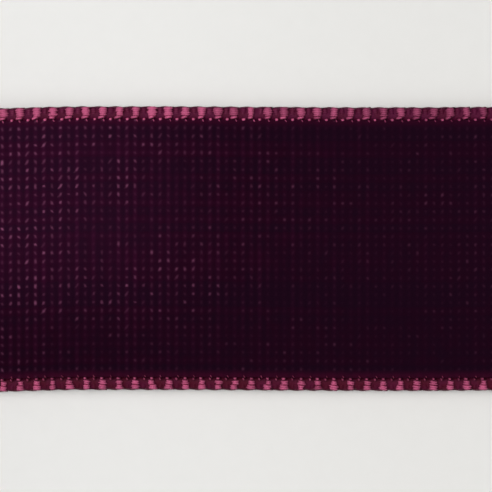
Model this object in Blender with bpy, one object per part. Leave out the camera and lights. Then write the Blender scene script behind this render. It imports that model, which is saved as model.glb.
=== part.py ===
"""A retail spool of velvet ribbon with a length drawn off and laid flat.

Three-piece reel: two moulded flanges that snap together through a cardboard core tube. The velvet
ribbon is taped to the core and wound with its pile outwards; its outermost turn comes over the top of
the roll, leads down and lies flat on the table, where it ends in a slanted cut.

Metres, +Z up. X runs along the drawn-off ribbon, Y along the reel's axle. The origin is at the middle
of the whole object's footprint, on the table. The reel turns inside the ribbon's outermost turn.
"""

import math

import bmesh
import bpy
from mathutils import Vector

# Ribbon, as woven
RIBBON_LENGTH = 4.572          # 5 yards, from the core to the cut end
RIBBON_WIDTH = 0.016           # 5/8 inch, over both selvedges
GROUND_THICKNESS = 0.0004
PILE_LOW = 0.0007              # the gap under the pile and selvedge solids is the running gap
PILE_HIGH = 0.0013             # the velvet's full thickness, pile standing
SELVEDGE_HIGH = 0.0011
SELVEDGE_WIDTH = 0.00075
TURN_PITCH = 0.0010            # one turn on the roll, its pile pressed down

# Reel
FLANGE_RADIUS = 0.0475
FLANGE_GAP = 0.0174            # between the flanges' inner faces
FLANGE_THICKNESS = 0.0016
RIM_WIDTH = 0.0020             # the bead round the flange's edge, along the radius
RIM_PROUD = 0.0005             # how far the bead stands out of the flange's outer face
BORE_RADIUS = 0.0130
COLLAR_WALL = 0.0009
COLLAR_DEPTH = 0.0035
PLUG_INNER, PLUG_OUTER = 0.0143, 0.0155
PLUG_LENGTH = 0.0122
SOCKET_INNER, SOCKET_OUTER = 0.0159, 0.0171
SOCKET_LENGTH = 0.0100
SHOULDER_LENGTH = 0.0050       # the thick root of the plug, which centres the core tube
SNAP_GROOVE_NEAR, SNAP_GROOVE_FAR = 0.0044, 0.0066
SNAP_DEPTH = 0.0005
FINGER_COUNT = 4
FINGER_SLOT = 0.0020
WINDOW_COUNT = 8
WINDOW_INNER, WINDOW_OUTER = 0.0258, 0.0378
WINDOW_ANGLE = math.radians(28)
WINDOW_CORNER = 0.0025
NOTCH_WIDTH = 0.0012           # slit in the rim that holds the ribbon's end
NOTCH_DEPTH = 0.0040
NOTCH_ANGLE = math.radians(112)

CORE_INNER, CORE_OUTER = 0.0175, 0.0190
TAPE_THICKNESS = 0.0002
TAPE_WIDTH = 0.0120
TAPE_ANGLE = math.radians(60)
ROLL_INNER, ROLL_OUTER = 0.0199, 0.04155
LABEL_INNER, LABEL_OUTER = 0.0149, 0.0224
LABEL_THICKNESS = 0.0002
LABEL_RECESS = 0.0005

GAP = 0.0003                   # between pieces that rest on each other
RUNNING_GAP = 0.00035          # between the roll and the ribbon's outermost turn

# The drawn-off ribbon's route, in degrees round the axle and metres from it
LEAD_OFF = math.radians(20)    # where the ribbon leaves the roll, above the horizontal
LEAD_OVERLAP = math.radians(20)
TOUCHDOWN_REACH = 0.0800       # from the axle to where the ribbon lies flat
LEAD_HANDLE = 0.0420
TABLE_HANDLE = 0.0260
CUT_SLOPE = 0.45               # metres along for each metre across, at the cut end

TURN_STEPS = 72
BELT_STEP = math.radians(5)
LEAD_STEPS = 26
WINDOW_CORNER_STEPS = 4

BELT_RADIUS = ROLL_OUTER + RUNNING_GAP
HALF_RIBBON = RIBBON_WIDTH / 2


def lead_curve(steps):
    """Back of the ribbon from the roll to the table: (x, z) about the axle, with its direction."""
    start = Vector((math.cos(LEAD_OFF), math.sin(LEAD_OFF))) * BELT_RADIUS
    leaving = Vector((math.sin(LEAD_OFF), -math.cos(LEAD_OFF)))
    end = Vector((TOUCHDOWN_REACH, -FLANGE_RADIUS))
    handles = (start, start + leaving * LEAD_HANDLE, end - Vector((TABLE_HANDLE, 0)), end)
    points = []
    for i in range(steps + 1):
        t = i / steps
        weights = ((1 - t) ** 3, 3 * t * (1 - t) ** 2, 3 * t * t * (1 - t), t ** 3)
        slopes = (-3 * (1 - t) ** 2, 3 * (1 - t) * (1 - 3 * t), 3 * t * (2 - 3 * t), 3 * t * t)
        place = sum((p * w for p, w in zip(handles, weights)), Vector((0, 0)))
        along = sum((p * s for p, s in zip(handles, slopes)), Vector((0, 0)))
        points.append((place, along.normalized()))
    return points


def route_length(points):
    return sum((b[0] - a[0]).length for a, b in zip(points, points[1:]))


# What is left of the ribbon after the roll, its outermost turn and the lead lies flat
ROLL_LENGTH = math.pi * (ROLL_OUTER ** 2 - ROLL_INNER ** 2) / TURN_PITCH
BELT_LENGTH = (BELT_RADIUS + PILE_HIGH / 2) * (2 * math.pi - LEAD_OVERLAP)
LEAD_LENGTH = route_length(lead_curve(400))
FLAT_LENGTH = RIBBON_LENGTH - ROLL_LENGTH - BELT_LENGTH - LEAD_LENGTH
TAIL_REACH = TOUCHDOWN_REACH + FLAT_LENGTH
AXLE_X = (FLANGE_RADIUS - TAIL_REACH - CUT_SLOPE * HALF_RIBBON) / 2
AXLE_Z = FLANGE_RADIUS


def clear_scene():
    for old in list(bpy.data.objects):
        bpy.data.objects.remove(old, do_unlink=True)


def make_material(name, colour, roughness, metallic=0.0):
    material = bpy.data.materials.new(name)
    material.use_nodes = True
    shader = material.node_tree.nodes["Principled BSDF"]
    shader.inputs["Base Color"].default_value = (*colour, 1.0)
    shader.inputs["Roughness"].default_value = roughness
    shader.inputs["Metallic"].default_value = metallic
    return material


def add_object(name, bm, material, parent=None, smooth_below=math.radians(35)):
    """Turn a bmesh into a named object with its material, shaded smooth up to an edge angle."""
    mesh = bpy.data.meshes.new(name)
    bm.to_mesh(mesh)
    bm.free()
    mesh.materials.append(material)
    mesh.shade_smooth()
    mesh.set_sharp_from_angle(angle=smooth_below)
    made = bpy.data.objects.new(name, mesh)
    bpy.context.collection.objects.link(made)
    made.parent = parent
    return made


def lathe(name, profile, material, parent):
    """Spin a closed profile of (radius, y) points once round the axle."""
    bm = bmesh.new()
    verts = [bm.verts.new((radius, y, 0.0)) for radius, y in profile]
    edges = [bm.edges.new((a, b)) for a, b in zip(verts, verts[1:] + verts[:1])]
    bmesh.ops.spin(bm, geom=verts + edges, cent=(0, 0, 0), axis=(0, 1, 0), angle=2 * math.pi,
                   steps=TURN_STEPS, use_merge=True)
    bmesh.ops.remove_doubles(bm, verts=bm.verts[:], dist=1e-6)
    bmesh.ops.recalc_face_normals(bm, faces=bm.faces[:])
    return add_object(name, bm, material, parent)


def sweep(name, sections, material, parent=None):
    """Join rings of points into one closed solid with a cap at each end."""
    bm = bmesh.new()
    rings = [[bm.verts.new(point) for point in section] for section in sections]
    for ring, following in zip(rings, rings[1:]):
        for i in range(len(ring)):
            j = (i + 1) % len(ring)
            bm.faces.new((ring[i], ring[j], following[j], following[i]))
    bm.faces.new(rings[0])
    bm.faces.new(rings[-1])
    bmesh.ops.recalc_face_normals(bm, faces=bm.faces[:])
    return add_object(name, bm, material, parent)


def ribbon_stations():
    """Back of the drawn-off ribbon in the world: (x, z), its outward normal, and the cut's share."""
    axle = Vector((AXLE_X, AXLE_Z))
    belt_angle = 2 * math.pi - LEAD_OVERLAP
    belt_steps = round(belt_angle / BELT_STEP)
    stations = []
    for i in range(belt_steps):
        angle = LEAD_OFF + belt_angle * (1 - i / belt_steps)
        outward = Vector((math.cos(angle), math.sin(angle)))
        stations.append((axle + outward * BELT_RADIUS, outward, 0.0))
    for place, along in lead_curve(LEAD_STEPS):
        stations.append((axle + place, Vector((-along.y, along.x)), 0.0))
    stations.append((Vector((AXLE_X + TAIL_REACH, 0.0)), Vector((0.0, 1.0)), 1.0))
    return stations


def ribbon_layer(name, low, high, y_low, y_high, material):
    """One layer of the ribbon, between two heights over its back and two places across it."""
    sections = []
    for place, outward, cut in ribbon_stations():
        section = []
        for height, y in ((low, y_low), (low, y_high), (high, y_high), (high, y_low)):
            point = place + outward * height
            section.append((point.x + cut * CUT_SLOPE * y, y, point.y))
        sections.append(section)
    return sweep(name, sections, material)


def ring_profile(inner, outer, half_width):
    return [(inner, -half_width), (outer, -half_width), (outer, half_width), (inner, half_width)]


def flange_plate(side, hub):
    """A flange's profile. hub is its inner side from the bore outwards, as (radius, depth) points.

    side is -1 for the near flange and +1 for the far one. Depths are counted from the flange's inner
    face, away from the ribbon.
    """
    bead = FLANGE_THICKNESS + RIM_PROUD
    rim = FLANGE_RADIUS - RIM_WIDTH
    outline = [(BORE_RADIUS, FLANGE_THICKNESS)] + hub + [
        (FLANGE_RADIUS - 0.0004, 0.0),
        (FLANGE_RADIUS, 0.0004),
        (FLANGE_RADIUS, bead - 0.0004),
        (FLANGE_RADIUS - 0.0004, bead),
        (rim + RIM_PROUD, bead),
        (rim, FLANGE_THICKNESS),
        (LABEL_OUTER + 0.0008, FLANGE_THICKNESS),
        (LABEL_OUTER + 0.0004, FLANGE_THICKNESS - LABEL_RECESS),
        (LABEL_INNER - GAP, FLANGE_THICKNESS - LABEL_RECESS),
        (LABEL_INNER - GAP, FLANGE_THICKNESS),
    ]
    return [(radius, side * (FLANGE_GAP / 2 + depth)) for radius, depth in outline]


def collar_profile():
    collar = BORE_RADIUS + COLLAR_WALL
    return [(BORE_RADIUS, -COLLAR_DEPTH), (collar, -COLLAR_DEPTH), (collar, 0.0)]


def window_outline():
    """A window's outline: a sector of a ring with round corners, as (x, z) points about the axle."""
    corners = []
    for radius, angle, turn in ((WINDOW_INNER, -1, math.pi), (WINDOW_OUTER, -1, -math.pi / 2),
                                (WINDOW_OUTER, 1, 0.0), (WINDOW_INNER, 1, math.pi / 2)):
        inset = WINDOW_CORNER if radius == WINDOW_INNER else -WINDOW_CORNER
        at = radius + inset
        lean = angle * (WINDOW_ANGLE / 2 - WINDOW_CORNER / at)
        centre = Vector((at * math.cos(lean), at * math.sin(lean)))
        corners.append((centre, lean + turn))
    points = []
    for centre, start in corners:
        for i in range(WINDOW_CORNER_STEPS + 1):
            angle = start + math.pi / 2 * i / WINDOW_CORNER_STEPS
            points.append(centre + Vector((math.cos(angle), math.sin(angle))) * WINDOW_CORNER)
    return points


def prism(bm, outline, y_low, y_high, turn=0.0):
    """Add a closed prism along Y over an (x, z) outline, turned about the axle."""
    spin = [(math.cos(turn) * p.x - math.sin(turn) * p.y,
             math.sin(turn) * p.x + math.cos(turn) * p.y) for p in outline]
    base = bm.faces.new([bm.verts.new((x, y_low, z)) for x, z in spin])
    raised = bmesh.ops.extrude_face_region(bm, geom=[base])
    top = [v for v in raised["geom"] if isinstance(v, bmesh.types.BMVert)]
    bmesh.ops.translate(bm, verts=top, vec=(0, y_high - y_low, 0))


def slot_outline(inner, outer, width):
    half = width / 2
    return [Vector((inner, -half)), Vector((outer, -half)), Vector((outer, half)),
            Vector((inner, half))]


def add_cutter(name, target, prisms, parent):
    """Cut the target with a set of prisms: each is an outline, its reach along Y and its turn."""
    bm = bmesh.new()
    for outline, y_low, y_high, turn in prisms:
        prism(bm, outline, y_low, y_high, turn)
    bmesh.ops.recalc_face_normals(bm, faces=bm.faces[:])
    cutter = add_object(name, bm, target.data.materials[0], parent)
    cutter.hide_render = True
    cutter.display_type = "WIRE"
    cut = target.modifiers.new(name, "BOOLEAN")
    cut.operation = "DIFFERENCE"
    cut.solver = "EXACT"
    cut.object = cutter
    return cutter


def cut_flange(flange, side, parent):
    """Open the windows and the ribbon notch in a flange."""
    y_low, y_high = sorted((side * (FLANGE_GAP / 2 - 0.001), side * (FLANGE_GAP / 2 + 0.004)))
    prisms = [(window_outline(), y_low, y_high, 2 * math.pi * (i + 0.5) / WINDOW_COUNT)
              for i in range(WINDOW_COUNT)]
    notch = slot_outline(FLANGE_RADIUS - NOTCH_DEPTH, FLANGE_RADIUS + 0.002, NOTCH_WIDTH)
    prisms.append((notch, y_low, y_high, NOTCH_ANGLE))
    add_cutter(flange.name + "_windows", flange, prisms, parent)


def make_near_flange(material, reel):
    """The socket half: its hub barrel has a groove inside that the other half's fingers snap into."""
    hub = collar_profile() + [
        (SOCKET_INNER, 0.0),
        (SOCKET_INNER, -SNAP_GROOVE_NEAR),
        (SOCKET_INNER + SNAP_DEPTH, -SNAP_GROOVE_NEAR),
        (SOCKET_INNER + SNAP_DEPTH, -SNAP_GROOVE_FAR),
        (SOCKET_INNER, -SNAP_GROOVE_FAR),
        (SOCKET_INNER, -SOCKET_LENGTH),
        (SOCKET_OUTER, -SOCKET_LENGTH),
        (SOCKET_OUTER, 0.0),
    ]
    flange = lathe("near_flange", flange_plate(-1, hub), material, reel)
    cut_flange(flange, -1, reel)


def make_far_flange(material, reel):
    """The plug half: its hub barrel ends in snap fingers with a barb round their tips."""
    barb = PLUG_OUTER + SNAP_DEPTH
    hub = collar_profile() + [
        (PLUG_INNER, 0.0),
        (PLUG_INNER, -PLUG_LENGTH),
        (PLUG_OUTER, -PLUG_LENGTH),
        (barb, -PLUG_LENGTH + 0.0007),
        (barb, -PLUG_LENGTH + 0.0010),
        (PLUG_OUTER, -PLUG_LENGTH + 0.0013),
        (PLUG_OUTER, -SHOULDER_LENGTH),
        (SOCKET_OUTER, -SHOULDER_LENGTH),
        (SOCKET_OUTER, 0.0),
    ]
    flange = lathe("far_flange", flange_plate(1, hub), material, reel)
    cut_flange(flange, 1, reel)
    tip = FLANGE_GAP / 2 - PLUG_LENGTH
    slot = slot_outline(PLUG_INNER - 0.001, PLUG_OUTER + 0.002, FINGER_SLOT)
    root = FLANGE_GAP / 2 - SHOULDER_LENGTH - 0.001
    prisms = [(slot, tip - 0.001, root, 2 * math.pi * i / FINGER_COUNT) for i in range(FINGER_COUNT)]
    add_cutter("far_flange_finger_slots", flange, prisms, reel)


def make_core(cardboard, tape, reel):
    half = FLANGE_GAP / 2 - GAP
    lathe("core_tube", ring_profile(CORE_INNER, CORE_OUTER, half), cardboard, reel)
    inner = CORE_OUTER + GAP
    steps = round(TAPE_ANGLE / BELT_STEP)
    sections = []
    for i in range(steps + 1):
        angle = TAPE_ANGLE * (i / steps - 0.5)
        section = [(radius * math.cos(angle), y, radius * math.sin(angle))
                   for radius, y in ring_profile(inner, inner + TAPE_THICKNESS, TAPE_WIDTH / 2)]
        sections.append(section)
    sweep("core_tape", sections, tape, reel)


def make_labels(paper, reel):
    """Paper ring labels in the flanges' recesses, a running gap over the recess's floor."""
    floor = FLANGE_GAP / 2 + FLANGE_THICKNESS - LABEL_RECESS + GAP
    for name, side in (("near_label", -1), ("far_label", 1)):
        profile = [(radius, side * y) for radius, y in (
            (LABEL_INNER, floor), (LABEL_OUTER, floor),
            (LABEL_OUTER, floor + LABEL_THICKNESS), (LABEL_INNER, floor + LABEL_THICKNESS))]
        lathe(name, profile, paper, reel)


def make_drawn_ribbon(ground, pile, satin):
    """The outermost turn, the lead and the flat tail: one ribbon in its woven layers."""
    inner_edge = HALF_RIBBON - SELVEDGE_WIDTH
    ribbon_layer("ribbon_ground", 0.0, GROUND_THICKNESS, -HALF_RIBBON, HALF_RIBBON, ground)
    ribbon_layer("velvet_pile", PILE_LOW, PILE_HIGH, -inner_edge + GAP, inner_edge - GAP, pile)
    ribbon_layer("near_selvedge", PILE_LOW, SELVEDGE_HIGH, -HALF_RIBBON, -inner_edge, satin)
    ribbon_layer("far_selvedge", PILE_LOW, SELVEDGE_HIGH, inner_edge, HALF_RIBBON, satin)


def main():
    clear_scene()
    reel = bpy.data.objects.new("reel_axle", None)
    reel.location = (AXLE_X, 0.0, AXLE_Z)
    bpy.context.collection.objects.link(reel)

    white_plastic = make_material("white_plastic", (0.82, 0.81, 0.78), 0.38)
    kraft = make_material("kraft_cardboard", (0.42, 0.28, 0.17), 0.85)
    clear_tape = make_material("clear_tape", (0.75, 0.72, 0.60), 0.25)
    paper = make_material("label_paper", (0.86, 0.83, 0.76), 0.60)
    ground = make_material("plum_ground_cloth", (0.055, 0.006, 0.028), 0.75)
    pile = make_material("plum_velvet_pile", (0.020, 0.002, 0.012), 0.90)
    satin = make_material("wine_satin_selvedge", (0.30, 0.025, 0.10), 0.45)

    make_near_flange(white_plastic, reel)
    make_far_flange(white_plastic, reel)
    make_core(kraft, clear_tape, reel)
    lathe("wound_ribbon", ring_profile(ROLL_INNER, ROLL_OUTER, HALF_RIBBON), pile, reel)
    make_labels(paper, reel)
    make_drawn_ribbon(ground, pile, satin)


main()
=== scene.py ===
"""Looks of the velvet ribbon spool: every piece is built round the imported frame, in metres, +Z up."""

import math

import bmesh
import bpy
import numpy as np
from mathutils import Matrix, Vector


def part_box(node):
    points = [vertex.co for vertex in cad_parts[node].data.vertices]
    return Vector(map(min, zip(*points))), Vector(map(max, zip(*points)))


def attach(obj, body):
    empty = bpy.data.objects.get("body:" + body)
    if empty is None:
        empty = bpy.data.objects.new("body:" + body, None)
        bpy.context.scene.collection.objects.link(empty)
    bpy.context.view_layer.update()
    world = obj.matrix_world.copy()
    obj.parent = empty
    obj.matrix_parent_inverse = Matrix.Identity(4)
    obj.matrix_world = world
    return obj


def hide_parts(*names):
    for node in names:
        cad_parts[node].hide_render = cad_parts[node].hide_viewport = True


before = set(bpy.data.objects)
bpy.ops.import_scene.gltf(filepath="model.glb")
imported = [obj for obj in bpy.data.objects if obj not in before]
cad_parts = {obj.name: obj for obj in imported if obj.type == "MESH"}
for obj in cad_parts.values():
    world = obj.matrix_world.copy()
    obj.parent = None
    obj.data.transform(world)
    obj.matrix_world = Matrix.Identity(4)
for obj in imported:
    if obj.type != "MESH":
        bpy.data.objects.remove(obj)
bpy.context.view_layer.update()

MM = 0.001

# The frame's own sizes
REEL_LOW, REEL_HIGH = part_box("near_flange")
AXLE = Vector(((REEL_LOW.x + REEL_HIGH.x) / 2, 0.0, (REEL_LOW.z + REEL_HIGH.z) / 2))
FLANGE_RADIUS = (REEL_HIGH.x - REEL_LOW.x) / 2
ROLL_LOW, ROLL_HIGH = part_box("wound_ribbon")
ROLL_OUTER = (ROLL_HIGH.x - ROLL_LOW.x) / 2
HALF_RIBBON = ROLL_HIGH.y
GROUND_LOW, GROUND_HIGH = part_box("ribbon_ground")

# The ribbon as the frame lays it: its outermost turn (the belt), the lead to the table, and the tail
GROUND_THICKNESS = 0.4 * MM
PILE_HEIGHT = 1.28 * MM                # over the ribbon's back
SELVEDGE_WIDTH = 0.76 * MM
BELT_RADIUS = AXLE.x - GROUND_LOW.x - GROUND_THICKNESS
LEAD_OFF = math.radians(20)            # where the ribbon leaves the roll, from +X towards +Z
BELT_ANGLE = math.radians(340)
TOUCHDOWN = 80 * MM                    # from the axle to where the ribbon meets the table
LEAD_HANDLE = 42 * MM                  # the lead's curve handles, at the roll and at the table
TABLE_HANDLE = 26 * MM
CUT_SLOPE = 0.45                       # how far the slanted cut runs along the ribbon for its width
TAIL_X = GROUND_HIGH.x - CUT_SLOPE * HALF_RIBBON
PAST_CUT = 4.5 * MM                    # rings are laid this far past the cut's middle, then drawn back
TUFT = 0.466 * MM                      # pitch of the pile's tufts, along and across
LOOP = 2 * TUFT                        # pitch of the selvedge's loops

# Sideways bends of the lead and the flat ribbon, in millimetres: where each starts and ends, counted
# from the place where the ribbon touches the table, and how far it shifts the ribbon towards +Y
BENDS = ((-40, -8, -0.070), (3, 9, 0.120), (13, 25, -0.055), (27, 33, 0.025), (38, 60, -0.050))

# The ribbon still on the core
RIBBON_LENGTH = 4.572                  # 5 yards, from the core to the cut
ROLL_INNER = 19.95 * MM
WOUND_THICKNESS = 0.92 * MM            # a turn on the roll, its pile pressed down
WOUND_END = math.radians(-2)           # its outer end lies just under the start of the outermost turn

# The reel: radii about the axle, and depths out of a flange's inner face
ROUND_STEPS = 144                      # sides of a turned shape's circle
INNER_FACE = 8.7 * MM
PLATE = 1.6 * MM
WINDOW_COUNT = 8
WINDOW_INNER, WINDOW_OUTER = 25.8 * MM, 37.6 * MM
WINDOW_ANGLE = math.radians(28)
WINDOW_CORNER = 2.3 * MM
WINDOW_ROUND = 0.3 * MM                # rounding of the windows' rims on both faces
# The windows' rounded rims: each step's rise, as a share of the rounding, and how much it widens
WINDOW_FLARE = ((0.5, 1.007), (0.366, 1.014), (0.20, 1.024))
NOTCH_WIDTH, NOTCH_DEPTH, NOTCH_ANGLE = 1.2 * MM, 4.0 * MM, math.radians(112)
RIB_INNER, RIB_OUTER = 23.57 * MM, 45.05 * MM
RIB_WIDTH, RIB_PROUD, RIB_SUNK = 1.5 * MM, 0.35 * MM, 0.2 * MM
RIB_CREST, RIB_EDGE = 0.72, 0.18 * MM  # width of its top, as a share, and the rounding of its edges
PIN_RADIUS = 41.4 * MM                 # how far the ejector pins' marks lie from the axle
PIN_MARK, PIN_EDGE = 1.5 * MM, 0.05 * MM
RIM_RUB = 2.2 * MM                     # the rubbed band along the flange's edge
LABEL_RING, LABEL_HAIRLINE = 21.3 * MM, 15.9 * MM
PLY_PITCH = 11 * MM                    # how far the core tube's seam climbs in one turn

BELT_POINTS, LEAD_POINTS, FLAT_POINTS = 1400, 900, 700

CHANCE = np.random.RandomState(11)


# ---------------------------------------------------------------- the ribbon's route

def route_points():
    """Back of the drawn-off ribbon, closely spaced, as (x, z) rows: belt, lead and flat tail.

    The rows run from the belt's start to a little past the cut, and the lead is one Bezier curve.
    """
    axle = np.array((AXLE.x, AXLE.z))
    angles = LEAD_OFF + np.linspace(BELT_ANGLE, 0.0, BELT_POINTS)
    belt = axle + BELT_RADIUS * np.stack((np.cos(angles), np.sin(angles)), 1)
    start = belt[-1]
    leaving = np.array((math.sin(LEAD_OFF), -math.cos(LEAD_OFF)))
    end = np.array((AXLE.x + TOUCHDOWN, 0.0))
    second, third = start + leaving * LEAD_HANDLE, end - np.array((TABLE_HANDLE, 0.0))
    t = np.linspace(0.0, 1.0, LEAD_POINTS)[1:, None]
    lead = ((1 - t) ** 3 * start + 3 * t * (1 - t) ** 2 * second
            + 3 * t * t * (1 - t) * third + t ** 3 * end)
    x = np.linspace(end[0], TAIL_X + 8 * MM, FLAT_POINTS)[1:]
    return np.concatenate((belt, lead, np.stack((x, 0 * x), 1)))


ROUTE = route_points()
ROUTE_STEP = np.linalg.norm(np.diff(ROUTE, axis=0), axis=1)
ROUTE_AT = np.concatenate(((0.0,), np.cumsum(ROUTE_STEP)))
ROUTE_TANGENT = np.gradient(ROUTE, ROUTE_AT, axis=0)
TAIL_AT = float(np.interp(TAIL_X, ROUTE[-FLAT_POINTS:, 0], ROUTE_AT[-FLAT_POINTS:]))
BELT_END_AT = BELT_ANGLE * BELT_RADIUS
TOUCH_AT = TAIL_AT - (TAIL_X - AXLE.x - TOUCHDOWN)
WOUND_LENGTH = RIBBON_LENGTH - TAIL_AT - BELT_ANGLE * PILE_HEIGHT / 2
# Where the selvedges' painted sheen is full, and a radian of its drift along the ribbon
SHEEN_FULL_AT, SHEEN_DRIFT_LENGTH = TOUCH_AT + 10 * MM, 7 * MM


def sway(s):
    """How far the ribbon has wandered sideways, at places along it."""
    aside = 0.0
    for start, end, change in BENDS:
        share = np.clip(((s - TOUCH_AT) / MM - start) / (end - start), 0.0, 1.0)
        aside = aside + change * MM * share * share * (3 - 2 * share)
    return aside


def place(s, across, height):
    """Points in the frame for places along and across the ribbon and heights over its back."""
    s, across, height = np.broadcast_arrays(s, across, height)
    x, z = np.interp(s, ROUTE_AT, ROUTE[:, 0]), np.interp(s, ROUTE_AT, ROUTE[:, 1])
    tx = np.interp(s, ROUTE_AT, ROUTE_TANGENT[:, 0])
    tz = np.interp(s, ROUTE_AT, ROUTE_TANGENT[:, 1])
    size = np.hypot(tx, tz)
    tx, tz = tx / size, tz / size
    return np.stack((x - tz * height, across + sway(s), z + tx * height), -1)


def cut_at(across):
    """How far along the ribbon its slanted cut is, at a place across it."""
    return TAIL_AT + CUT_SLOPE * across


# ---------------------------------------------------------------- meshes

def mesh_object(name, points, faces, uv=None, tone=None):
    """A new smooth object from points and faces, with a UV and a painted light value (highlight and
    shade) for each point.
    """
    mesh = bpy.data.meshes.new(name)
    mesh.from_pydata(np.asarray(points).reshape(-1, 3).tolist(), [], faces)
    if uv is not None:
        layer = mesh.uv_layers.new(name="weave")
        corner = np.zeros(len(mesh.loops), np.int32)
        mesh.loops.foreach_get("vertex_index", corner)
        layer.data.foreach_set("uv", np.asarray(uv, np.float32).reshape(-1, 2)[corner].ravel())
    if tone is not None:
        values = mesh.attributes.new("tone", "FLOAT", "POINT")
        values.data.foreach_set("value", np.asarray(tone, np.float32).ravel())
    mesh.shade_smooth()
    made = bpy.data.objects.new(name, mesh)
    bpy.context.scene.collection.objects.link(made)
    return made


def ring_faces(stations, around):
    """Quads of a tube of rings, with a cap at each end."""
    i, j = np.meshgrid(np.arange(stations - 1), np.arange(around), indexing="ij")
    k = (j + 1) % around
    quads = np.stack((i * around + j, i * around + k, (i + 1) * around + k, (i + 1) * around + j), -1)
    faces = quads.reshape(-1, 4).tolist()
    last = (stations - 1) * around
    faces.append(list(range(around))[::-1])
    faces.append(list(range(last, last + around)))
    return faces


def outward(made):
    """Point a closed mesh's faces outwards."""
    bm = bmesh.new()
    bm.from_mesh(made.data)
    bmesh.ops.recalc_face_normals(bm, faces=bm.faces[:])
    bm.to_mesh(made.data)
    bm.free()
    return made


def ribbon_tube(name, along, section, tone=None):
    """A closed strip of the ribbon: a section of (across, height) rows at every place along it.

    section is (around, 2) or (stations, around, 2). Places past the slanted cut are drawn back to it.
    """
    section = np.broadcast_to(section, (len(along),) + np.shape(section)[-2:])
    across, height = section[..., 0], section[..., 1]
    s = np.minimum(along[:, None], cut_at(across))
    uv = np.stack((s / TUFT, across / TUFT), -1)
    made = mesh_object(name, place(s, across, height), ring_faces(*across.shape), uv, tone)
    return outward(made)


# ---------------------------------------------------------------- shader maths

class Value:
    """A shader socket whose value takes part in Python sums."""

    def __init__(self, shader, socket):
        self.shader, self.socket = shader, socket

    def sum(self, operation, *others):
        inputs = {i + 1: other for i, other in enumerate(others)}
        return self.shader.node("ShaderNodeMath", {"operation": operation}, {0: self, **inputs})

    def reflected(self, operation, other):
        return self.shader.node("ShaderNodeMath", {"operation": operation}, {0: other, 1: self})

    def __add__(self, other):
        return self.sum("ADD", other)

    def __sub__(self, other):
        return self.sum("SUBTRACT", other)

    def __mul__(self, other):
        return self.sum("MULTIPLY", other)

    def __truediv__(self, other):
        return self.sum("DIVIDE", other)

    def __pow__(self, other):
        return self.sum("POWER", other)

    def __mod__(self, other):
        return self.sum("FLOORED_MODULO", other)

    def __rsub__(self, other):
        return self.reflected("SUBTRACT", other)

    def __rtruediv__(self, other):
        return self.reflected("DIVIDE", other)

    __radd__, __rmul__ = __add__, __mul__

    def floor(self):
        return self.sum("FLOOR")

    def size(self):
        return self.sum("ABSOLUTE")

    def sine(self):
        return self.sum("SINE")

    def least(self, other):
        return self.sum("MINIMUM", other)

    def step(self, low, high):
        """0 below low, 1 above high, and smooth between them; low may be the larger one."""
        return self.shader.node("ShaderNodeMapRange", {"interpolation_type": "SMOOTHSTEP"},
                                {"Value": self, "From Min": low, "From Max": high})


class Shader:
    """A material's node tree round one Principled shader."""

    def __init__(self, name, **constants):
        self.material = bpy.data.materials.new(name)
        self.material.use_nodes = True
        self.tree = self.material.node_tree
        self.principled = self.tree.nodes["Principled BSDF"]
        for socket, value in constants.items():
            self.principled.inputs[socket.replace("_", " ")].default_value = value

    def node(self, kind, settings=None, inputs=None, output=0):
        """Add a node: its settings first, then a value or a link for each named socket."""
        made = self.tree.nodes.new(kind)
        for key, value in (settings or {}).items():
            setattr(made, key, value)
        for key, value in (inputs or {}).items():
            if isinstance(value, Value):
                self.tree.links.new(value.socket, made.inputs[key])
            else:
                made.inputs[key].default_value = value
        return Value(self, made.outputs[output])

    def feed(self, **links):
        for socket, value in links.items():
            self.tree.links.new(value.socket, self.principled.inputs[socket.replace("_", " ")])

    def split(self, vector):
        made = self.node("ShaderNodeSeparateXYZ", None, {"Vector": vector})
        outputs = made.socket.node.outputs
        return [Value(self, outputs[axis]) for axis in "XYZ"]

    def join(self, x, y, z=0.0):
        return self.node("ShaderNodeCombineXYZ", None, {"X": x, "Y": y, "Z": z})

    def weave(self):
        """The ribbon's own UV, counted in tufts along and across."""
        return self.split(self.node("ShaderNodeUVMap", {"uv_map": "weave"}))[:2]

    def here(self):
        return self.node("ShaderNodeTexCoord", None, None, "Object")

    def place_on_reel(self):
        """A place on the reel: its x, y and z, then how far it is beside the axle and above it."""
        x, y, z = self.split(self.here())
        return x, y, z, x - AXLE.x, z - AXLE.z

    def attribute(self, name):
        return self.node("ShaderNodeAttribute", {"attribute_name": name}, None, "Fac")

    def noise(self, vector, scale, detail=2.0, roughness=0.5):
        return self.node("ShaderNodeTexNoise", None, {
            "Vector": vector, "Scale": scale, "Detail": detail, "Roughness": roughness}, "Fac")

    def chance(self, vector):
        return self.node("ShaderNodeTexWhiteNoise", {"noise_dimensions": "3D"},
                         {"Vector": vector}, "Value")

    def mix(self, share, first, second):
        """A colour between two colours."""
        made = self.tree.nodes.new("ShaderNodeMix")
        made.data_type = "RGBA"
        for index, value in ((0, share), (6, first), (7, second)):
            if isinstance(value, Value):
                self.tree.links.new(value.socket, made.inputs[index])
            else:
                made.inputs[index].default_value = value if index == 0 else (*value, 1.0)
        return Value(self, made.outputs[2])

    def bump(self, height, strength, distance):
        return self.node("ShaderNodeBump", None, {
            "Height": height, "Strength": strength, "Distance": distance}, "Normal")


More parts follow.
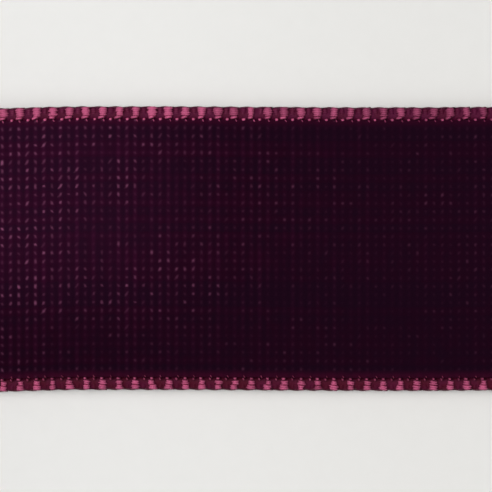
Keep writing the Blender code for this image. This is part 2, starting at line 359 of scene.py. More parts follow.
def velvet_material():
    """Cut pile: near-black plum, with slanted stitches glinting between the tufts.

    Painted sheen: the glints, the paler grid through the tufts and the plum are painted brighter near
    the reel and on the ribbon's far half, where the light falls. along and across run from -0.5 to 0.5
    over one tuft.
    """
    shader = Shader("plum_velvet", Roughness=0.9, Specular_IOR_Level=0.0, Sheen_Weight=0.05,
                    Sheen_Roughness=0.4, Sheen_Tint=(0.62, 0.16, 0.42, 1.0))
    u, v = shader.weave()
    column, row = u.floor(), v.floor()
    luck = shader.chance(shader.join(column, row))
    turn = shader.chance(shader.join(column + 37.0, row + 91.0))
    vein = shader.chance(shader.join(column, 7.0))
    along, across = u % 1.0 - 0.5, v % 1.0 - 0.5
    wander = shader.noise(shader.join(u, v), 1.7, 1.0) - 0.5
    lean = ((column % 2.0) - 0.5) * 0.6 + (turn - 0.5) * 0.6 + wander * 0.5
    broad = shader.noise(shader.join(u, v * 1.3), 0.075, 3.0, 0.6)
    banded = shader.noise(shader.join(u * 0.35, v), 0.16, 2.0, 0.6)
    past_touch = u - (TOUCH_AT + 4 * MM) / TUFT
    # Painted sheen: these shares brighten the pile near the reel and on its far half; the noise patches
    # are the pile's own
    sheen_near_reel = past_touch.step(32.0, 6.0) * 0.88 + 0.12
    sheen_far_half = v.step(-17.0, 0.0) * 0.74 + 0.26
    grid_sheen = (past_touch.step(52.0, 0.0) * 0.86 + 0.14) * (v.step(-17.0, 3.0) * 0.62 + 0.38)
    patches_and_sheen = (broad * 0.4 + banded * 0.85).step(0.42, 0.80) * sheen_near_reel * sheen_far_half
    stitch = ((along - across * lean + wander * 0.2).size().step(0.23, 0.03)
              * ((across + wander * 0.4).size() / (turn * 0.20 + 0.22)).step(1.0, 0.2))
    glint = (luck ** 1.8 * 0.85 + 0.20) * (vein * 0.5 + 0.65) * stitch * patches_and_sheen

    ridge, rank = along.size().step(0.42, 0.04), across.size().step(0.46, 0.00)
    streak = shader.noise(shader.join(column * 0.9, v * 0.22), 1.0, 2.0, 0.6).step(0.30, 0.70)
    weft = shader.chance(shader.join(5.0, row))
    upright, level = vein ** 2.0 * 0.7 + streak * 0.8, weft ** 3.0 * 0.9 + 0.12
    grid = (ridge * upright * 0.42 + rank * level * 0.30) * grid_sheen
    # Painted highlight specks where the grid's lines cross
    node = (ridge * rank) ** 3.0 * (luck ** 6.0 * 0.8 + 0.12) * (broad.step(0.35, 0.65) * 0.7 + 0.3)
    speck = (glint * 0.84 + node * (grid_sheen * 0.4 + 0.12)).least(1.0)

    mottle = shader.noise(shader.join(u, v * 0.45), 0.9, 3.0, 0.65)
    hue = (mottle * 0.5 + broad * 0.3 + weft * 0.2).step(0.35, 0.65) * (grid_sheen * 0.6 + 0.4)
    plum = shader.mix(hue, (0.0092, 0.0021, 0.0072), (0.0140, 0.0014, 0.0066))
    base = shader.mix(grid * (mottle * 0.8 + 0.5), plum, (0.0410, 0.0040, 0.0210))
    # Painted sheen: the plum is painted lighter near the reel on the far half
    sheen_lifted = shader.mix(sheen_near_reel * v.step(-13.0, 3.0) * 0.20, base, (0.046, 0.0080, 0.032))
    seam = v.size().step(14.4, 15.8) * (mottle * 0.8 + 0.2) * (v.step(8.0, -8.0) * 0.5 + 0.5)
    edged = shader.mix(seam * 0.75, sheen_lifted, (0.085, 0.0050, 0.028))
    # The specks are mixed towards the colour of the painted highlights
    shader.feed(Base_Color=shader.mix(speck, edged, (0.175, 0.050, 0.105)),
                Normal=shader.bump((ridge + rank) * 0.3 + stitch * 0.3 + mottle * 0.5, 0.4, 0.06 * MM))
    return shader.material


def satin_material():
    """Filament loops: wine satin, with a painted highlight on the crest of each loop and painted shade,
    deep red, at its feet.
    """
    shader = Shader("wine_satin", Roughness=0.55, Specular_IOR_Level=0.07, Sheen_Weight=0.02,
                    Sheen_Roughness=0.4, Sheen_Tint=(1.0, 0.30, 0.50, 1.0))
    tone = shader.attribute("tone")
    u, v = shader.weave()
    streaks = shader.noise(shader.join(u * 1.1, v * 8.0), 2.0, 2.0, 0.6)
    cast = shader.noise(shader.join(u, v), 0.7, 2.0, 0.5)
    # Painted highlight from the point attribute read above: brightest on the loops' crests
    bright = (tone + (streaks - 0.5) * (tone * 0.7 + 0.15)).step(0.0, 0.95)
    near_side = v.step(1.0, -1.0)
    # Painted shade at the loops' feet, darker and redder on the near selvedge
    shaded_feet = shader.mix(cast.step(0.35, 0.65) * 0.5 + near_side * 0.5,
                      (0.078, 0.0036, 0.029), (0.064, 0.0024, 0.013))
    shader.feed(Base_Color=shader.mix(bright, shaded_feet, (0.58, 0.112, 0.235)),
                Normal=shader.bump(streaks, 0.35, 0.03 * MM))
    return shader.material


def ground_material():
    """Plain weave on the ribbon's back."""
    shader = Shader("plum_ground_cloth", Roughness=0.7, Specular_IOR_Level=0.3, Sheen_Weight=0.2,
                    Sheen_Tint=(0.9, 0.5, 0.7, 1.0))
    u, v = shader.weave()
    weft, warp = (u * (2 * math.pi)).sine(), (v * (2 * math.pi)).sine()
    weave = weft * warp * 0.5 + 0.5
    shader.feed(Base_Color=shader.mix(weave, (0.020, 0.002, 0.010), (0.085, 0.010, 0.040)),
                Normal=shader.bump(weave, 0.5, 0.05 * MM))
    return shader.material


def plastic_material():
    """White moulded polystyrene: flow streaks from the hub, a fine moulded grain and a rubbed rim."""
    shader = Shader("white_polystyrene", Specular_IOR_Level=0.5)
    _, y, _, away, up = shader.place_on_reel()
    radius = (away * away + up * up) ** 0.5
    turn_x, turn_z = away / radius, up / radius
    flow = shader.noise(shader.join(turn_x * 9.0, radius * 90.0, turn_z * 9.0 + y * 60.0),
                        1.0, 3.0, 0.6)
    cloud = shader.noise(shader.here(), 70.0, 3.0, 0.55)
    grain = shader.noise(shader.here(), 5200.0, 2.0, 0.6)
    rubs = shader.noise(shader.join(radius * 2600.0, turn_x * 7.0, turn_z * 7.0), 1.0, 2.0, 0.7)
    rim = radius.step(FLANGE_RADIUS - RIM_RUB, FLANGE_RADIUS)
    worn = (rubs * (rim * 0.7 + 0.3)).step(0.30, 0.62)
    body = shader.mix(flow * 0.6 + cloud * 0.4, (0.76, 0.755, 0.725), (0.86, 0.855, 0.83))
    shader.feed(Base_Color=shader.mix(worn * 0.35, body, (0.70, 0.69, 0.66)),
                Roughness=0.30 + cloud * 0.10 + grain * 0.08 + worn * 0.16,
                Normal=shader.bump(grain * 0.5 + flow * 0.8 + rubs * 0.25, 0.22, 0.03 * MM))
    return shader.material


def paper_material():
    """Uncoated label paper with two printed plum rings and paper fibres."""
    shader = Shader("label_paper", Roughness=0.75, Specular_IOR_Level=0.25)
    x, y, z, away, up = shader.place_on_reel()
    radius = (away * away + up * up) ** 0.5
    fibre = shader.noise(shader.join(x * 900.0, y * 900.0, z * 2600.0), 1.0, 4.0, 0.7)
    cloud = shader.noise(shader.here(), 380.0, 3.0, 0.6)
    ring = ((radius - LABEL_RING).size().step(0.30 * MM, 0.22 * MM)
            + (radius - LABEL_HAIRLINE).size().step(0.12 * MM, 0.07 * MM)).least(1.0)
    ink = ring * (0.80 + fibre * 0.3).least(1.0)
    paper = shader.mix(fibre * 0.6 + cloud * 0.4, (0.74, 0.70, 0.62), (0.86, 0.83, 0.76))
    shader.feed(Base_Color=shader.mix(ink, paper, (0.10, 0.012, 0.045)),
                Normal=shader.bump(fibre, 0.35, 0.03 * MM))
    return shader.material


def kraft_material():
    """Spiral-wound kraft board: the seam of its outer ply runs round the tube like a thread."""
    shader = Shader("kraft_board", Roughness=0.88, Specular_IOR_Level=0.2)
    x, y, z, away, up = shader.place_on_reel()
    bearing = shader.node("ShaderNodeMath", {"operation": "ARCTAN2"}, {0: up, 1: away}) / (2 * math.pi)
    seam = ((y / PLY_PITCH + bearing) % 1.0 - 0.5).size()
    fibre = shader.noise(shader.join(x * 700.0, y * 2400.0, z * 700.0), 1.0, 4.0, 0.7)
    board = shader.mix(fibre, (0.30, 0.185, 0.10), (0.47, 0.32, 0.20))
    shader.feed(Base_Color=shader.mix(seam.step(0.05, 0.015) * 0.7, board, (0.16, 0.09, 0.045)),
                Normal=shader.bump(fibre * 0.6 + seam.step(0.0, 0.06), 0.4, 0.05 * MM))
    return shader.material


def tape_material():
    """Clear adhesive tape, faintly yellow, with small bubbles under it."""
    shader = Shader("clear_tape", Roughness=0.2, Specular_IOR_Level=0.5, Alpha=0.85)
    bubbles = shader.noise(shader.here(), 1500.0, 2.0, 0.5)
    creases = shader.noise(shader.here(), 260.0, 3.0, 0.6)
    shader.feed(Base_Color=shader.mix(bubbles.step(0.5, 0.66), (0.66, 0.60, 0.45), (0.82, 0.79, 0.68)),
                Normal=shader.bump(creases + bubbles * 0.3, 0.3, 0.04 * MM))
    return shader.material


# ---------------------------------------------------------------- the drawn-off ribbon

def spread(start, end, step):
    """Places from start to end, as near to step apart as divides them evenly."""
    return np.linspace(start, end, max(2, round((end - start) / step) + 1))


def along_ribbon(belt_step, lead_step, flat_step):
    """Places along the drawn-off ribbon, closer together where it is seen closer."""
    return np.concatenate((spread(0.0, BELT_END_AT, belt_step),
                           spread(BELT_END_AT, TOUCH_AT, lead_step)[1:],
                           spread(TOUCH_AT, TAIL_AT + PAST_CUT, flat_step)[1:]))


def make_ground(material):
    """The woven back, a little narrower than the selvedges on it, its lower corners taken off."""
    along = along_ribbon(1.5 * MM, 1.0 * MM, 1.0 * MM)
    half, low, high = HALF_RIBBON - 0.22 * MM, 0.02 * MM, GROUND_THICKNESS
    corner, rise = 0.15 * MM, 0.1 * MM
    section = np.array(((-half, low + rise), (-half + corner, low), (half - corner, low),
                        (half, low + rise), (half, high), (-half, high)))
    cloth = ribbon_tube("ribbon_ground_cloth", along, section)
    cloth.data.materials.append(material)
    return cloth


def make_pile(material):
    """The pile: two steps of the surface to each tuft off the roll, rounded off along both edges.

    It is pressed down over its first 5 mm, where the outermost turn starts.
    """
    along = along_ribbon(2 * TUFT, TUFT / 2, TUFT / 2)
    half = HALF_RIBBON - SELVEDGE_WIDTH
    columns = round(2 * half / TUFT) * 2
    across = np.linspace(-half, half, columns + 1)
    foot, tuft_rise, shoulder, fall = 0.36 * MM, 0.05 * MM, 0.35 * MM, 0.32 * MM
    edge = np.clip((half - np.abs(across)) / shoulder, 0.0, 1.0)
    dome = PILE_HEIGHT - fall * (1 - np.sqrt(1 - (1 - edge) ** 2))
    tuft_u = np.sin(np.pi * along / TUFT) ** 2
    tuft_v = np.sin(np.pi * across / TUFT) ** 2
    rough = CHANCE.normal(0.0, 0.012 * MM, (len(along), len(across)))
    lift = tuft_rise * tuft_u[:, None] * tuft_v[None, :] - tuft_rise + rough
    pressed = np.clip(along / (5 * MM), 0.3, 1.0)[:, None]
    height = foot + (dome + lift * edge - foot) * pressed
    top = np.stack((np.broadcast_to(across, lift.shape), height), -1)
    bottom = np.array(((half, foot), (-half, foot)))
    section = np.concatenate((top, np.broadcast_to(bottom, (len(along), 2, 2))), 1)
    pile = ribbon_tube("velvet_pile_face", along, section)
    pile.data.materials.append(material)
    return pile


def bead(name, side, along):
    """The selvedge's cord: a low round strip whose outer edge swells a little at each loop."""
    wave = np.cos(2 * np.pi * along / LOOP)[:, None]
    scallop = 0.022 * MM * wave
    across = HALF_RIBBON - np.array((0.85, 0.85, 0.45, 0.12, 0.00, 0.10, 0.45)) * MM
    height = np.array((0.10, 0.62, 0.66, 0.52, 0.30, 0.08, 0.03)) * MM
    reach = np.array((0.0, 0.0, 0.2, 0.8, 1.0, 0.8, 0.2))
    out = side * (across + scallop * reach)
    section = np.stack((out, np.broadcast_to(height, out.shape)), -1)
    # Painted highlight: the cord is a little lighter where it swells at each loop
    tone = np.full(out.shape, 0.03) + 0.05 * (0.5 + 0.5 * wave)
    return ribbon_tube(name, along, section, tone)


def stitches(side, rows, sheen_fade):
    """Thread lumps along one selvedge, given one row of them at a time.

    Its third argument is how far the threads' painted sheen drifts down and up again along the ribbon. A
    lump is a dome of
    4 quads along and 4 or more across, closed by one flat face, and its ridges are the single threads.
    """
    count = int(TAIL_AT // LOOP)
    for shift, inset, length, width, height, lean, ridges, bright in rows:
        points, faces, uvs, painted_lights = [], [], [], []
        wide = max(4, 2 * ridges)
        a, b = np.meshgrid(np.linspace(-1, 1, 5), np.linspace(-1, 1, wide + 1), indexing="ij")
        arch = np.clip(1 - np.abs(a) ** 3, 0, 1) ** 0.5 * (1 - 0.35 * np.abs(b) ** 3)
        shine = (1 - a ** 2) ** 0.6 * (1 - 0.35 * np.abs(b) ** 3)
        groove = 1 - 0.20 * (np.arange(wide + 1) % 2) if ridges else np.ones(wide + 1)
        i, j = np.meshgrid(np.arange(4), np.arange(wide), indexing="ij")
        row = wide + 1
        quads = np.stack((i * row + j, (i + 1) * row + j, (i + 1) * row + j + 1, i * row + j + 1), -1)
        rim = np.concatenate((np.arange(row), np.arange(1, 5) * row + wide,
                              4 * row + np.arange(wide)[::-1], np.arange(1, 4)[::-1] * row))
        for n in range(count):
            jitter = CHANCE.normal(0.0, 1.0, 5)
            ragged = CHANCE.normal(0.0, 0.13 if ridges else 0.0, row)
            at = (n + shift) * LOOP + jitter[0] * 0.025 * MM
            # Painted sheen: the threads are painted duller and brighter again along the ribbon
            painted_sheen = 1 - sheen_fade * (0.5 - 0.5 * math.cos((at - SHEEN_FULL_AT) / SHEEN_DRIFT_LENGTH))
            half_length = length / 2 * MM * (1 + 0.10 * jitter[1])
            half_width = width / 2 * MM * (1 + 0.05 * jitter[2])
            tilt = lean + 0.10 * jitter[3]
            along = (at + a * (1 + ragged) * half_length * math.cos(tilt)
                     - b * half_width * math.sin(tilt))
            across = (HALF_RIBBON - inset * MM + b * half_width * math.cos(tilt)
                      + a * half_length * math.sin(tilt))
            over = (0.30 + (height - 0.30) * arch * groove) * MM
            if at + half_length > cut_at(side * HALF_RIBBON) - 0.1 * MM:
                continue
            base = len(points) * row * 5
            points.append(place(along, side * across, over))
            uvs.append(np.stack((along / TUFT, side * across / TUFT), -1))
            # Painted highlight on each lump's crest, painted shade in the grooves between its threads,
            # scaled by the row's highlight and the painted sheen
            painted_lights.append(np.clip(bright * painted_sheen * (0.15 + 0.85 * shine) * groove ** 2
                                 * (1 + 0.13 * jitter[4]), 0, 1))
            faces += (quads.reshape(-1, 4) + base).tolist()
            faces.append((rim + base).tolist())
        yield points, faces, uvs, painted_lights


def make_selvedge(name, side, rows, sheen_fade, material):
    """One satin edge: its cord, with the thread lumps of every row joined onto it."""
    along = along_ribbon(LOOP / 2, LOOP / 4, LOOP / 8)
    edge = bead(name, side, along)
    parts = [edge]
    for number, (points, faces, uvs, painted_lights) in enumerate(stitches(side, rows, sheen_fade)):
        shape = np.concatenate([p.reshape(-1, 3) for p in points])
        part = mesh_object(f"{name}_row_{number}", shape, faces,
                           np.concatenate([x.reshape(-1, 2) for x in uvs]),
                           np.concatenate([x.ravel() for x in painted_lights]))
        parts.append(outward(part))
    for part in parts:
        part.data.materials.append(material)
    return joined(parts)


# Rows of thread lumps: place in the loop (as a share of it), distance in from the ribbon's edge, length
# along it, width and height over the back in millimetres, lean in radians, ridges and painted highlight,
# low for lumps in painted shade
FAR_ROWS = (
    (0.25, 0.31, 0.64, 0.54, 0.98, 0.06, 5, 1.00),
    (0.20, 0.63, 0.54, 0.19, 0.99, 0.20, 0, 0.85),
    (0.76, 0.30, 0.46, 0.48, 0.72, 0.05, 4, 0.23),
    (0.77, 0.76, 0.26, 0.20, 1.08, 0.15, 0, 1.00),
    (0.34, 0.83, 0.14, 0.26, 1.14, 0.45, 0, 0.50),
)
NEAR_ROWS = (
    (0.25, 0.20, 0.58, 0.32, 0.90, 0.00, 3, 1.00),
    (0.27, 0.46, 0.50, 0.31, 1.00, 0.12, 3, 1.00),
    (0.22, 0.69, 0.26, 0.16, 1.08, 0.05, 0, 0.55),
    (0.75, 0.32, 0.44, 0.50, 0.66, 0.00, 4, 0.08),
    (0.74, 0.66, 0.16, 0.18, 1.10, -0.30, 0, 0.42),
    (0.80, 0.82, 0.12, 0.22, 1.18, -0.50, 0, 0.30),
)


# ---------------------------------------------------------------- modelling by hand

def pick(piece, kind, test):
    """In edit mode, select the faces, edges or verts of a piece that pass a test, and nothing else."""
    bm = bmesh.from_edit_mesh(piece.data)
    for element in (*bm.verts, *bm.edges, *bm.faces):
        element.select = False
    for element in getattr(bm, kind):
        if test(element):
            element.select_set(True)
    bm.select_flush_mode()
    bmesh.update_edit_mesh(piece.data)


def begin(name, select="FACE"):
    """Name the new primitive, put its place into its mesh and open it in edit mode, all selected."""
    piece = bpy.context.object
    piece.name = piece.data.name = name
    bpy.ops.object.transform_apply(location=True, rotation=True, scale=True)
    bpy.ops.object.mode_set(mode="EDIT")
    bpy.ops.mesh.select_mode(type=select)
    bpy.ops.mesh.select_all(action="SELECT")
    return piece


def end():
    """Point the open mesh's faces outwards and leave edit mode, with nothing selected."""
    bpy.ops.mesh.select_all(action="SELECT")
    bpy.ops.mesh.normals_make_consistent(inside=False)
    bpy.ops.object.mode_set(mode="OBJECT")
    bpy.ops.object.select_all(action="DESELECT")


def about_axle(angle):
    """A turn about the reel's axle, counted from +X towards +Z."""
    return Matrix.Translation(AXLE) @ Matrix.Rotation(-angle, 4, "Y") @ Matrix.Translation(-AXLE)


def repeated(piece, angles):
    """Copies of a piece round the axle, each with its own mesh, joined into one object."""
    copies = []
    for angle in angles:
        copy = bpy.data.objects.new(piece.name, piece.data.copy())
        copy.data.transform(about_axle(angle))
        bpy.context.scene.collection.objects.link(copy)
        copies.append(copy)
    bpy.data.objects.remove(piece)
    return joined(copies)


def joined(pieces):
    """The pieces made one object, which keeps the first one's name."""
    bpy.ops.object.select_all(action="DESELECT")
    for piece in pieces:
        piece.select_set(True)
    bpy.context.view_layer.objects.active = pieces[0]
    bpy.ops.object.join()
    bpy.ops.object.select_all(action="DESELECT")
    return pieces[0]


def combine(piece, other, operation):
    """Cut another shape out of a piece, or make the two one body."""
    boolean = piece.modifiers.new("combine", "BOOLEAN")
    boolean.operation, boolean.solver, boolean.object = operation, "EXACT", other
    bpy.context.view_layer.objects.active = piece
    bpy.ops.object.modifier_apply(modifier="combine")
    bpy.data.objects.remove(other)


def filleted(corners, steps=4):
    """A closed outline from (radius, depth, fillet) corners, with a support point beyond each fillet."""
    points = []
    for i, (radius, depth, fillet) in enumerate(corners):
        here = Vector((radius, depth))
        before = Vector(corners[i - 1][:2]) - here
        after = Vector(corners[(i + 1) % len(corners)][:2]) - here
        if not fillet:
            points.append(here)
            continue
        first, last = here + before.normalized() * fillet, here + after.normalized() * fillet
        if before.length > 5 * fillet:
            points.append(here + before.normalized() * 2 * fillet)
        for k in range(steps + 1):
            t = k / steps
            points.append(first * (1 - t) ** 2 + here * 2 * t * (1 - t) + last * t * t)
        if after.length > 5 * fillet:
            points.append(here + after.normalized() * 2 * fillet)
    return points


def turned(name, corners, side):
    """Turn an outline of (radius, depth, fillet) corners round the axle, in millimetres.

    A circle is extruded from point to point, and its two ends are bridged.
    """
    outline = [(x * MM, side * (INNER_FACE + y * MM)) for x, y in filleted(corners)]
    radius, y = outline[0]
    bpy.ops.object.select_all(action="DESELECT")
    bpy.ops.mesh.primitive_circle_add(vertices=ROUND_STEPS, radius=radius, location=(AXLE.x, y, AXLE.z),
                                      rotation=(math.pi / 2, 0, 0))
    piece = begin(name, "EDGE")
    for next_radius, next_y in outline[1:]:
        bpy.ops.mesh.extrude_region_move(TRANSFORM_OT_translate={"value": (0, next_y - y, 0)})
        scale = next_radius / radius
        bpy.ops.transform.resize(value=(scale, 1, scale), center_override=(AXLE.x, next_y, AXLE.z))
        radius, y = next_radius, next_y
    pick(piece, "edges", lambda edge: edge.is_boundary)
    bpy.ops.mesh.bridge_edge_loops()
    end()
    return piece


# ---------------------------------------------------------------- the reel

def window_block(side):
    """One window's block: a plane spun round the axle, flared where it leaves each face of the plate."""
    middle = side * (INNER_FACE + PLATE / 2)
    mean, deep = (WINDOW_INNER + WINDOW_OUTER) / 2, WINDOW_OUTER - WINDOW_INNER
    centre = (AXLE.x + mean, middle, AXLE.z)
    bpy.ops.object.select_all(action="DESELECT")
    bpy.ops.mesh.primitive_plane_add(size=1.0, location=centre)
    block = begin("window_block")
    bpy.ops.transform.resize(value=(deep, PLATE - 2 * WINDOW_ROUND, 1), center_override=centre)
    bpy.ops.mesh.spin(steps=5, angle=WINDOW_ANGLE, center=AXLE, axis=(0, 1, 0))
    bpy.ops.mesh.select_all(action="SELECT")
    bpy.ops.mesh.remove_doubles(threshold=1e-6)
    bpy.ops.mesh.select_all(action="SELECT")
    bpy.ops.mesh.normals_make_consistent(inside=False)
    spots = [vert.co - AXLE for vert in bmesh.from_edit_mesh(block.data).verts]
    bearings = [math.atan2(spot.z, spot.x) for spot in spots]
    low, high = min(bearings), max(bearings)

    def upright_corner(edge):
        """An edge through the plate at one of the window's four corners."""
        a, b = edge.verts
        spot = (a.co + b.co) / 2 - AXLE
        bearing, radius = math.atan2(spot.z, spot.x), math.hypot(spot.x, spot.z)
        return (abs(a.co.y - b.co.y) > PLATE / 4 and min(bearing - low, high - bearing) < 0.01
                and abs(abs(radius - mean) - deep / 2) < 0.2 * MM)

    bpy.ops.mesh.select_mode(type="EDGE")
    pick(block, "edges", upright_corner)
    bpy.ops.mesh.bevel(offset=WINDOW_CORNER, segments=6, affect="EDGES")
    bpy.ops.mesh.select_mode(type="FACE")
    bearing = (low + high) / 2
    window = (AXLE.x + mean * math.cos(bearing), middle, AXLE.z + mean * math.sin(bearing))
    for way in (-1, 1):
        pick(block, "faces", lambda face: face.normal.y * way > 0.9)
        for rise, spread_by in WINDOW_FLARE:
            bpy.ops.mesh.extrude_region_move(
                TRANSFORM_OT_translate={"value": (0, way * rise * WINDOW_ROUND, 0)})
            bpy.ops.transform.resize(value=(spread_by, 1, spread_by), center_override=window)
        bpy.ops.mesh.extrude_region_move(TRANSFORM_OT_translate={"value": (0, way * 1.0 * MM, 0)})
    end()
    return block, bearing


def cut_block(name, radius_low, radius_high, depth_low, depth_high, width, side):
    """A plain cutting block on the +X side of the axle, between two radii and two depths."""
    ends = sorted((side * (INNER_FACE + depth_low), side * (INNER_FACE + depth_high)))
    middle = (AXLE.x + (radius_low + radius_high) / 2, sum(ends) / 2, AXLE.z)
    bpy.ops.object.select_all(action="DESELECT")
    bpy.ops.mesh.primitive_cube_add(size=1.0, location=middle)
    block = begin(name)
    bpy.ops.transform.resize(value=(radius_high - radius_low, ends[1] - ends[0], width),
                             center_override=middle)
    end()
    return block


def spoke_rib(side):
    """A low rib along a spoke: a block whose outer face is drawn in and rounded along its length."""
    rib = cut_block("spoke_rib", RIB_INNER, RIB_OUTER, PLATE - RIB_SUNK, PLATE + RIB_PROUD,
                    RIB_WIDTH, side)
    bpy.context.view_layer.objects.active = rib
    bpy.ops.object.mode_set(mode="EDIT")
    bpy.ops.mesh.select_mode(type="FACE")
    top = side * (INNER_FACE + PLATE + RIB_PROUD)
    pick(rib, "faces", lambda face: face.normal.y * side > 0.9)
    bpy.ops.transform.resize(value=(1.0, 1.0, RIB_CREST), center_override=(AXLE.x, top, AXLE.z))
    bpy.ops.mesh.select_mode(type="EDGE")
    pick(rib, "edges", lambda edge: all(abs(v.co.y - top) < 1e-6 for v in edge.verts))
    bpy.ops.mesh.bevel(offset=RIB_EDGE, segments=3, affect="EDGES")
    end()
    return rib


def pin_mark(side):
    """The shallow round mark that an ejector pin leaves, as a cutter with a rounded floor edge."""
    y = side * (INNER_FACE + PLATE + 0.44 * MM)
    bpy.ops.object.select_all(action="DESELECT")
    bpy.ops.mesh.primitive_cylinder_add(vertices=40, radius=PIN_MARK, depth=1.0 * MM,
                                        location=(AXLE.x + PIN_RADIUS, y, AXLE.z),
                                        rotation=(math.pi / 2, 0, 0))
    mark = begin("pin_mark", "EDGE")
    floor = y - side * 0.5 * MM
    pick(mark, "edges", lambda edge: all(abs(v.co.y - floor) < 1e-6 for v in edge.verts))
    bpy.ops.mesh.bevel(offset=PIN_EDGE, segments=2, affect="EDGES")
    end()
    return mark


def finish_flange(flange, side, material):
    """Windows, notch, pin marks and ribs, the same on both flanges."""
    eighths = [2 * math.pi * i / WINDOW_COUNT for i in range(WINDOW_COUNT)]
    between = [angle + math.pi / WINDOW_COUNT for angle in eighths]
    block, bearing = window_block(side)
    combine(flange, repeated(block, [angle - bearing for angle in between]), "DIFFERENCE")
    notch = cut_block("notch", FLANGE_RADIUS - NOTCH_DEPTH, FLANGE_RADIUS + 2 * MM, -1 * MM, 4 * MM,
                      NOTCH_WIDTH, side)
    notch.data.transform(about_axle(NOTCH_ANGLE))
    combine(flange, notch, "DIFFERENCE")
    combine(flange, repeated(pin_mark(side), between[::2]), "DIFFERENCE")
    combine(flange, repeated(spoke_rib(side), eighths), "UNION")
    flange.data.materials.clear()
    flange.data.materials.append(material)
    bpy.ops.object.select_all(action="DESELECT")
    flange.select_set(True)
    bpy.context.view_layer.objects.active = flange
    bpy.ops.object.shade_smooth_by_angle(angle=math.radians(27))
    flange.select_set(False)
    return flange


# Outlines of the turned shapes: (radius, depth out of the inner face, fillet), in millimetres
COLLAR = ((13.0, 1.6, 0.3), (13.0, -3.5, 0.2), (13.9, -3.5, 0.2), (13.9, 0.0, 0.15))
SOCKET = ((15.9, 0.0, 0.15), (15.9, -4.4, 0.0), (16.4, -4.4, 0.0), (16.4, -6.6, 0.0),
          (15.9, -6.6, 0.0), (15.9, -10.0, 0.3), (17.1, -10.0, 0.3), (17.1, 0.0, 0.2))
PLUG = ((14.3, 0.0, 0.1), (14.3, -12.2, 0.2), (15.5, -12.2, 0.15), (16.0, -11.5, 0.12),
        (16.0, -11.2, 0.1), (15.5, -10.9, 0.1), (15.5, -5.0, 0.1), (17.1, -5.0, 0.25), (17.1, 0.0, 0.2))
DISC = ((47.5, 0.0, 0.35), (47.5, 2.1, 0.4), (46.0, 2.1, 0.35), (45.5, 1.6, 0.3), (23.2, 1.6, 0.2),
        (22.8, 1.1, 0.1), (14.6, 1.1, 0.1), (14.6, 1.6, 0.2))


def make_near_flange(material):
    """The socket half, with the groove that the fingers snap into."""
    return finish_flange(turned("near_flange_moulding", COLLAR + SOCKET + DISC, -1), -1, material)


def make_far_flange(material):
    """The plug half, whose barrel is slotted into four barbed fingers."""
    flange = turned("far_flange_moulding", COLLAR + PLUG + DISC, 1)
    slot = cut_block("finger_slot", 13.3 * MM, 17.5 * MM, -13.2 * MM, -6.0 * MM, 2.0 * MM, 1)
    combine(flange, repeated(slot, [math.pi / 2 * i for i in range(4)]), "DIFFERENCE")
    return finish_flange(flange, 1, material)


def make_wound_ribbon(velvet, satin, ground):
    """The ribbon still on the core: one strip in a spiral, its pile pressed down.

    Its edges swell at every loop, and the turns lie a little to one side or the other.
    """
    middle = WOUND_THICKNESS / 2
    inner, outer = ROLL_INNER + middle, ROLL_OUTER - middle
    pitch = math.pi * (outer ** 2 - inner ** 2) / WOUND_LENGTH
    count = round(WOUND_LENGTH / (LOOP / 2))
    share = np.linspace(0.0, 1.0, count)
    radius = np.sqrt(inner ** 2 + (outer ** 2 - inner ** 2) * share)
    angle = WOUND_END + 2 * math.pi * (outer - radius) / pitch
    half = HALF_RIBBON - 0.06 * MM
    inset = np.array((0.12, 0.00, 0.25, 0.80, 0.95)) * MM
    height = np.array((0.00, 0.28, 0.60, 0.64, 0.92)) * MM
    reach = np.array((0.3, 1.0, 0.6, 0.0, 0.0))
    crest = np.arange(count)[:, None] % 2
    edge = half - inset + 0.06 * MM * reach * (2 * crest - 1)
    across = np.concatenate((-edge, edge[:, ::-1]), 1)
    over = np.broadcast_to(np.concatenate((height, height[::-1])), across.shape) - middle
    wander = 0.10 * MM * np.sin(angle * 0.83) + 0.07 * MM * np.sin(angle * 2.3 + 1.0)
    out = radius[:, None] + over
    points = np.stack((AXLE.x + out * np.cos(angle)[:, None], across + wander[:, None],
                       AXLE.z + out * np.sin(angle)[:, None]), -1)
    along = np.broadcast_to(share[:, None] * WOUND_LENGTH, across.shape)
    # Painted highlight on the swelling edges, strongest on every other step, where the crests are
    shine = np.concatenate((reach, reach[::-1]))
    tone = np.clip(shine * (0.12 + 0.75 * crest) * CHANCE.uniform(0.7, 1.1, (count, 1)), 0.0, 1.0)
    uv = np.stack((along / TUFT, across / TUFT), -1)
    ribbon = mesh_object("wound_velvet_ribbon", points, ring_faces(*across.shape), uv, tone)
    for material in (velvet, satin, ground):
        ribbon.data.materials.append(material)
    layer = np.array((1, 1, 1, 0, 0, 0, 1, 1, 1, 2), np.int32)
    layers = np.concatenate((np.tile(layer, count - 1), (2, 2)))
    ribbon.data.polygons.foreach_set("material_index", layers)
    return outward(ribbon)


# ---------------------------------------------------------------- light, floor and camera

FRAME_WIDTH = 27.6 * MM
FRAME_CENTRE = Vector((50.0 * MM, 0.17 * MM, PILE_HEIGHT))
LENS = 180.0
SENSOR = 36.0
TABLE = ((0.784, 0.773, 0.740), (0.810, 0.798, 0.766))     # the table's paper, from dark to light
# Painted shade: the table's paper painted darker past the middle of the flat ribbon
TABLE_SHADED = ((0.746, 0.733, 0.698), (0.772, 0.758, 0.724)) # the same past the middle of the flat ribbon


def make_camera():
    """Straight over the flat ribbon, with its pile's top filling the frame's width."""
    data = bpy.data.cameras.new("camera")
    data.sensor_width, data.lens = SENSOR, LENS
    distance = FRAME_WIDTH * LENS / SENSOR
    camera = bpy.data.objects.new("camera", data)
    camera.location = FRAME_CENTRE + Vector((0, 0, distance))
    data.clip_start, data.clip_end = 0.005, 20.0
    bpy.context.scene.collection.objects.link(camera)
    bpy.context.scene.camera = camera


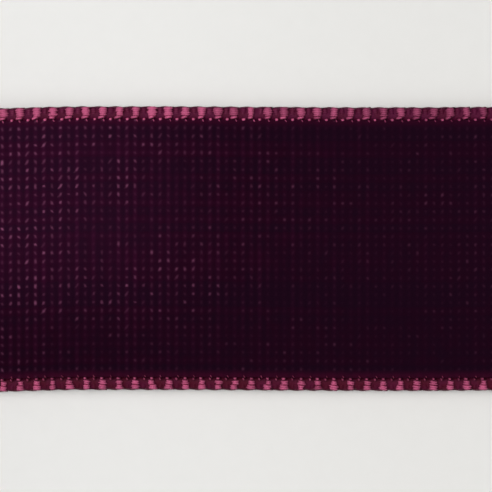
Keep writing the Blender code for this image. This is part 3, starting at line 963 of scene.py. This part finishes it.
def aim(light, direction):
    """Turn a light to shine from a direction, given from what it lights towards it."""
    light.rotation_euler = Vector(direction).to_track_quat("Z", "Y").to_euler()
    light.visible_camera = False
    bpy.context.scene.collection.objects.link(light)


def area_light(name, towards, direction, distance, size, power):
    """A round light at a distance from the place that it points towards."""
    data = bpy.data.lights.new(name, "AREA")
    data.shape, data.size, data.energy = "DISK", size, power
    light = bpy.data.objects.new(name, data)
    light.location = Vector(towards) + Vector(direction).normalized() * distance
    aim(light, direction)


def sun_light(name, direction, width, strength):
    """A sun from a direction, as wide in the sky as the angle given."""
    data = bpy.data.lights.new(name, "SUN")
    data.angle, data.energy = width, strength
    aim(bpy.data.objects.new(name, data), direction)


def make_floor():
    """A pale table just under the object, with painted shade: a little darker past the middle of the
    flat ribbon.
    """
    bpy.ops.object.select_all(action="DESELECT")
    bpy.ops.mesh.primitive_plane_add(size=6.0, location=(0, 0, -0.02 * MM))
    floor = bpy.context.object
    floor.name = "floor"
    floor.data.transform(floor.matrix_world)
    floor.matrix_world = Matrix.Identity(4)
    shader = Shader("pale_table", Roughness=0.6, Specular_IOR_Level=0.2)
    paper = shader.noise(shader.here(), 900.0, 3.0, 0.6)
    # Painted shade: the table is painted darker past the middle of the flat ribbon
    painted_shade_mask = shader.split(shader.here())[0].step(38 * MM, 62 * MM)
    pale, shaded_table = shader.mix(paper, *TABLE), shader.mix(paper, *TABLE_SHADED)
    shader.feed(Base_Color=shader.mix(painted_shade_mask, pale, shaded_table))
    floor.data.materials.append(shader.material)


def make_light():
    """A wide soft key from above, a fill from the near side, and a lamp over the reel for the tail."""
    world = bpy.data.worlds.new("studio")
    world.use_nodes = True
    world.node_tree.nodes["Background"].inputs["Color"].default_value = (0.93, 0.95, 1.0, 1.0)
    world.node_tree.nodes["Background"].inputs["Strength"].default_value = 0.40
    bpy.context.scene.world = world
    bpy.context.scene.view_settings.view_transform = "Standard"
    sun_light("key", (-0.22, 0.30, 1.0), math.radians(60), 1.27)
    area_light("fill", (20 * MM, 0, 20 * MM), (0.5, -0.8, 0.8), 1.2, 0.8, 1.4)
    area_light("pool", FRAME_CENTRE, (-0.103, 0.006, 0.163), 0.2, 0.1, 0.140)


# ---------------------------------------------------------------- the object

def build():
    """Every piece, each riding its body in place of its node."""
    velvet, satin, ground = velvet_material(), satin_material(), ground_material()
    make_camera()
    make_light()
    make_floor()

    cloth = make_ground(ground)
    pile = make_pile(velvet)
    far = make_selvedge("far_selvedge_loops", 1, FAR_ROWS, 0.50, satin)
    near = make_selvedge("near_selvedge_loops", -1, NEAR_ROWS, 0.20, satin)
    for piece, node, slot in ((cloth, "ribbon_ground", "ground_cloth"),
                              (pile, "velvet_pile", "velvet_pile"),
                              (far, "far_selvedge", "satin_selvedge"),
                              (near, "near_selvedge", "satin_selvedge")):
        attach(piece, "drawn_ribbon")
        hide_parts(node)

    plastic = plastic_material()
    wound = make_wound_ribbon(velvet, satin, ground)
    for piece, node, slot in ((make_near_flange(plastic), "near_flange", "reel_plastic"),
                              (make_far_flange(plastic), "far_flange", "reel_plastic"),
                              (wound, "wound_ribbon", "velvet_pile")):
        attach(piece, "reel")
        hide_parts(node)
    paper = paper_material()
    for node, material in (("near_label", paper), ("far_label", paper),
                           ("core_tube", kraft_material()), ("core_tape", tape_material())):
        bpy.data.objects[node].material_slots[0].material = material


build()
